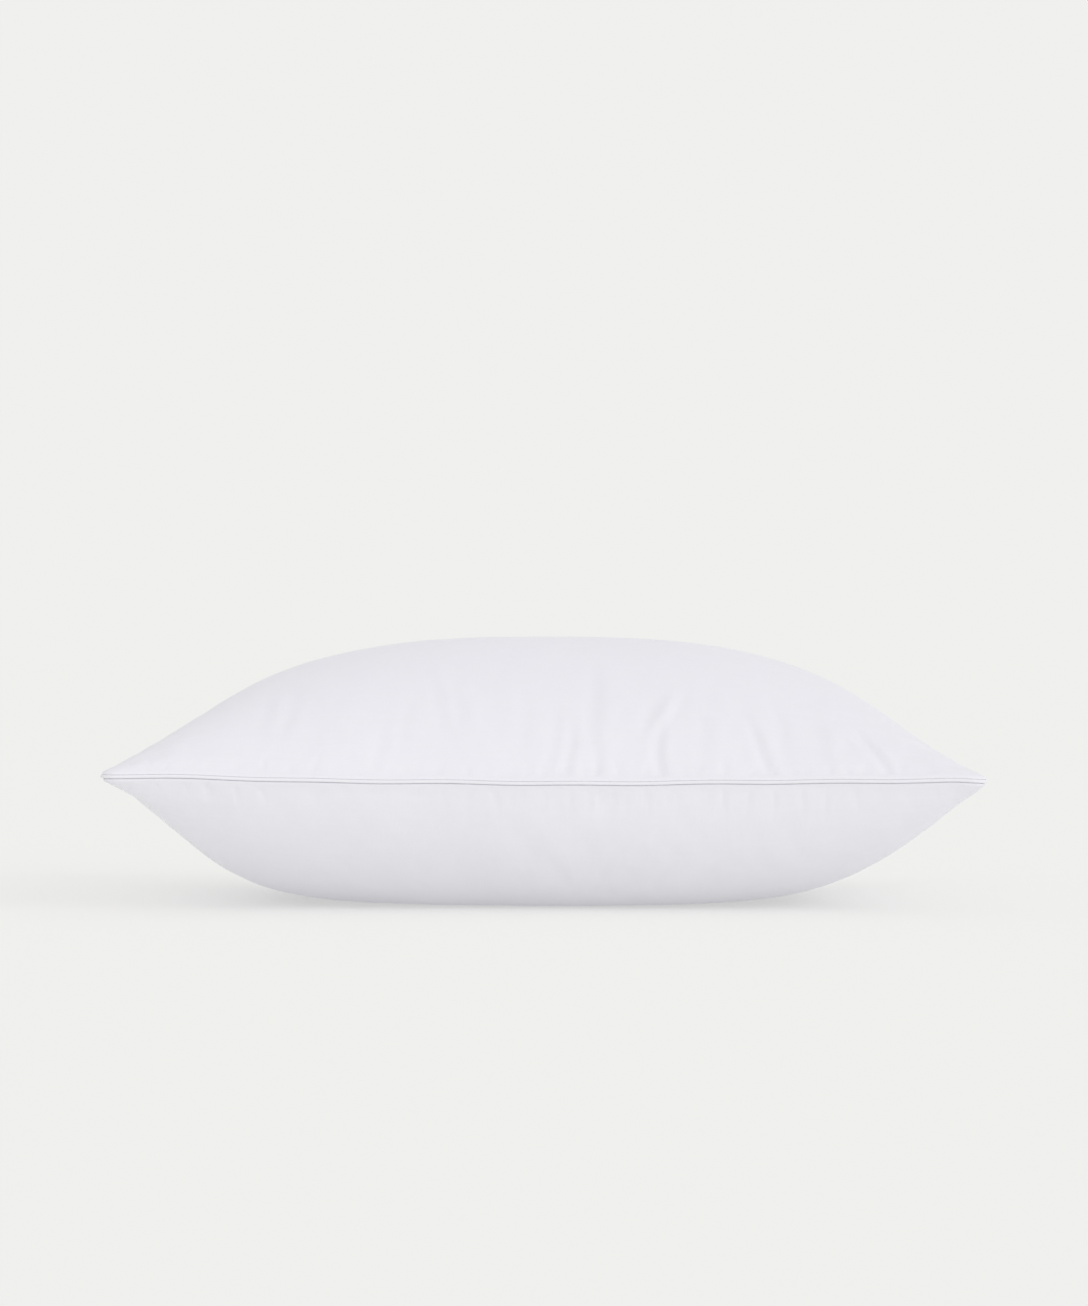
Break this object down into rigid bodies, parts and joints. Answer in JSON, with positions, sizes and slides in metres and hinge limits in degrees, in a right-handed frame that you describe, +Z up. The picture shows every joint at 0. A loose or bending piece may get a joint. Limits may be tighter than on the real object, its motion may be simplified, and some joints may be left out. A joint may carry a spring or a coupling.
{
  "type": "bed pillow",
  "caption": "Plump rectangular bed pillow lying flat: white cotton shell sewn from two panels, slim corded piping round the seam, and a soft fill in three stacked chambers inside.",
  "frame": {"origin": "on the floor, under the middle of the pillow", "axes": "+X along the pillow's length, +Y towards its rear long side, +Z up; it lies flat, with a long side facing -Y"},
  "size_m": [0.6402, 0.492, 0.2],
  "materials": {
    "shell_cotton": "matte cool-white cotton percale, fine plain weave",
    "chamber_cambric": "matte unbleached cotton cambric",
    "down_clusters": "loose white down",
    "feather_core": "loose feathers and down",
    "piping_cotton": "cool-white cotton bias strip",
    "piping_string": "twisted natural cotton string",
    "sewing_thread": "white polyester thread, slight sheen",
    "label_tape": "blank white woven tape"
  },
  "bodies": {
    "root": {"shell_top": "shell_cotton", "shell_bottom": "shell_cotton", "chamber_top": "chamber_cambric", "chamber_bottom": "chamber_cambric", "fill_top": "down_clusters", "fill_core": "feather_core", "fill_bottom": "down_clusters", "piping_cover": "piping_cotton", "piping_cord": "piping_string", "seam_thread_upper": "sewing_thread", "seam_thread_lower": "sewing_thread", "overlock_thread": "sewing_thread", "closing_stitch_upper": "sewing_thread", "closing_stitch_lower": "sewing_thread", "care_label": "label_tape"}
  },
  "joints": []
}
